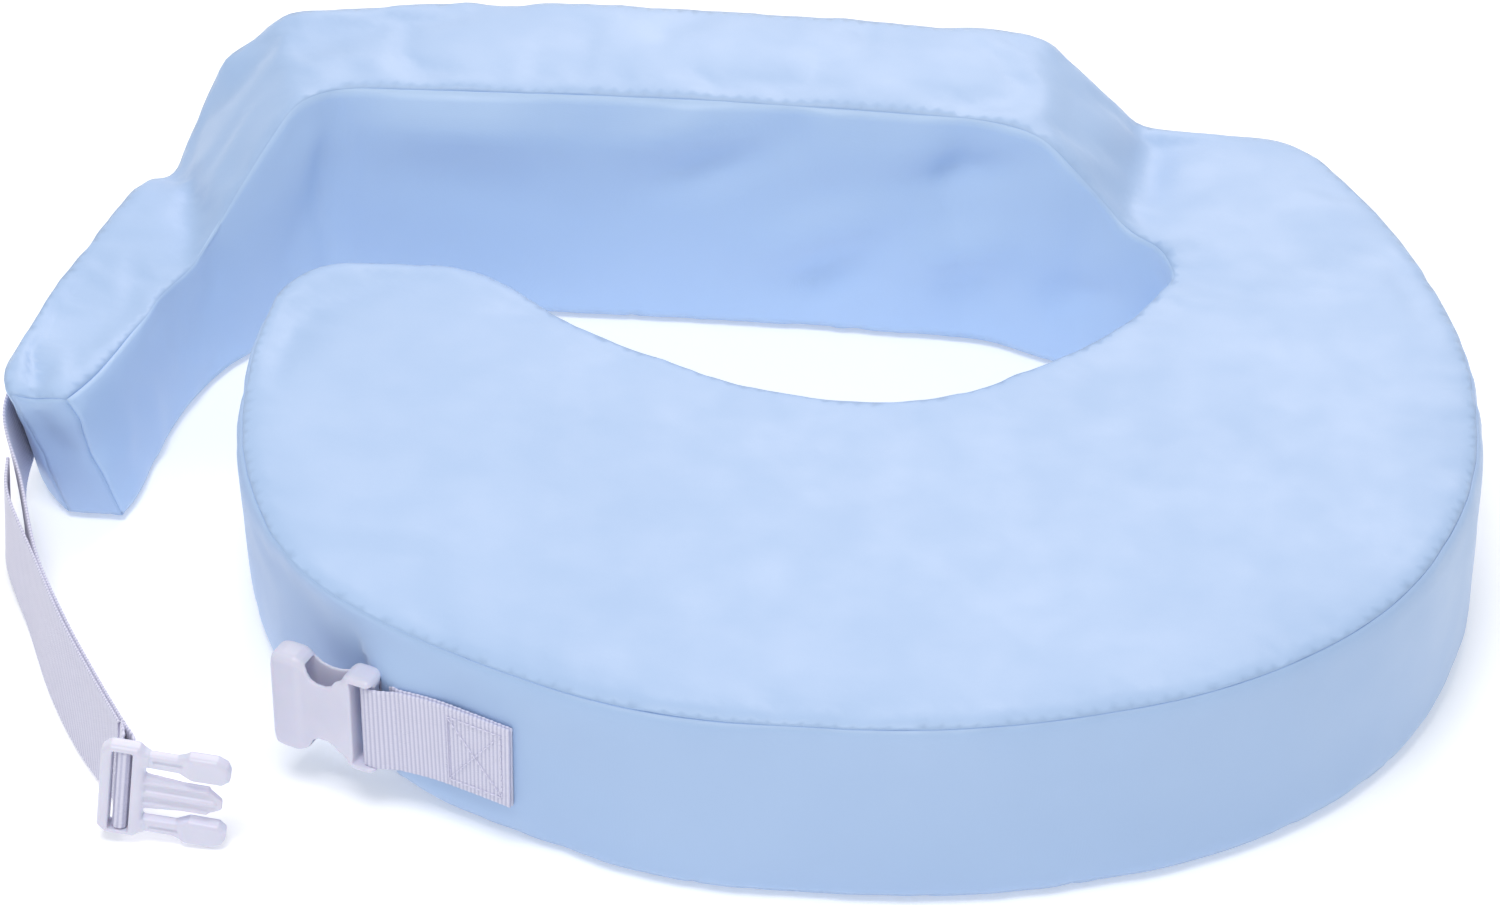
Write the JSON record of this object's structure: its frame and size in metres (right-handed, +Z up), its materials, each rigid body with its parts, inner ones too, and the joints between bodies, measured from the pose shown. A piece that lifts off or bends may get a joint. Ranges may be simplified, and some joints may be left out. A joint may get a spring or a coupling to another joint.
{
  "type": "nursing pillow",
  "caption": "Wrap-around nursing pillow: flat foam platform, raised backrest and flexible arm in a sewn zipped cover, closed by a webbing strap with a side-release buckle.",
  "frame": {"origin": "middle of the bounding box, on the surface that the pillow rests on", "axes": "+X along the backrest towards the wide side of the platform, +Y towards the back, +Z up"},
  "size_m": [0.5931, 0.4437, 0.115],
  "materials": {
    "cover_fabric": "smooth wipe-clean light blue fabric, soft satin sheen",
    "foam": "open-cell foam, matt",
    "webbing": "pale lilac-white woven webbing, ribbed",
    "thread": "polyester thread",
    "buckle_plastic": "moulded plastic, half gloss",
    "zip_tape": "woven tape",
    "zip_coil": "nylon coil",
    "zip_metal": "enamelled die-cast metal"
  },
  "bodies": {
    "pillow": {"cover_top_panel": "cover_fabric", "cover_bottom_panel": "cover_fabric", "cover_outer_band": "cover_fabric", "cover_inner_band": "cover_fabric", "foam_slab": "foam", "foam_backrest": "foam", "zip_tape_upper": "zip_tape", "zip_tape_lower": "zip_tape", "zip_coil_upper": "zip_coil", "zip_coil_lower": "zip_coil", "zip_stops": "zip_metal", "platform_strap": "webbing", "platform_strap_stitching": "thread"},
    "arm": {"foam_arm": "foam", "arm_bottom_panel": "cover_fabric", "arm_top_panel": "cover_fabric", "arm_outer_band": "cover_fabric", "arm_inner_band": "cover_fabric", "arm_end_panel": "cover_fabric", "arm_strap_sewn_end": "webbing", "arm_strap_stitching": "thread"},
    "strap": {"loose_strap": "webbing", "loose_strap_tail": "webbing"},
    "plug": {"male_buckle_frame": "buckle_plastic", "male_strap_fold": "webbing"},
    "upper_prong": {"prong_upper": "buckle_plastic"},
    "lower_prong": {"prong_lower": "buckle_plastic"},
    "socket": {"female_buckle": "buckle_plastic", "female_strap_fold": "webbing"},
    "slider": {"zip_slider": "zip_metal"},
    "pull": {"zip_pull": "zip_metal"}
  },
  "joints": [
    {"name": "arm_spread", "type": "hinge", "parent": "pillow", "child": "arm", "pos_m": [-0.276, 0.1015, 0.03], "axis": [0, 0, -1], "range_deg": [0, 18], "stiffness_Nm_per_rad": 2},
    {"name": "strap_swing", "type": "hinge", "parent": "arm", "child": "strap", "pos_m": [-0.292, 0.0098, 0.031], "axis": [0, 0, -1], "range_deg": [0, 50]},
    {"name": "buckle_turn", "type": "hinge", "parent": "strap", "child": "plug", "pos_m": [-0.207, -0.205, 0.026], "axis": [0.1219, 0, 0.9925], "range_deg": [-40, 40]},
    {"name": "upper_prong_squeeze", "type": "hinge", "parent": "plug", "child": "upper_prong", "pos_m": [-0.19571, -0.2145, 0.04083], "axis": [0, 1, 0], "range_deg": [0, 8], "stiffness_Nm_per_rad": 0.5},
    {"name": "lower_prong_squeeze", "type": "hinge", "parent": "plug", "child": "lower_prong", "pos_m": [-0.19966, -0.2145, 0.00868], "axis": [0, 1, 0], "range_deg": [-8, 0], "stiffness_Nm_per_rad": 0.5},
    {"name": "socket_turn", "type": "hinge", "parent": "pillow", "child": "socket", "pos_m": [-0.1085, -0.1863, 0.0405], "axis": [0, 0, 1], "range_deg": [-5, 60]},
    {"name": "zip_slide", "type": "slide", "parent": "pillow", "child": "slider", "axis": [1, 0, 0], "range_m": [0, 0.135]},
    {"name": "pull_turn", "type": "hinge", "parent": "slider", "child": "pull", "pos_m": [-0.07325, 0.21977, 0.034], "axis": [0, 0, -1], "range_deg": [0, 175]}
  ],
  "couplings": [
    {"joint": "lower_prong_squeeze", "follows": "upper_prong_squeeze", "ratio": -1}
  ]
}
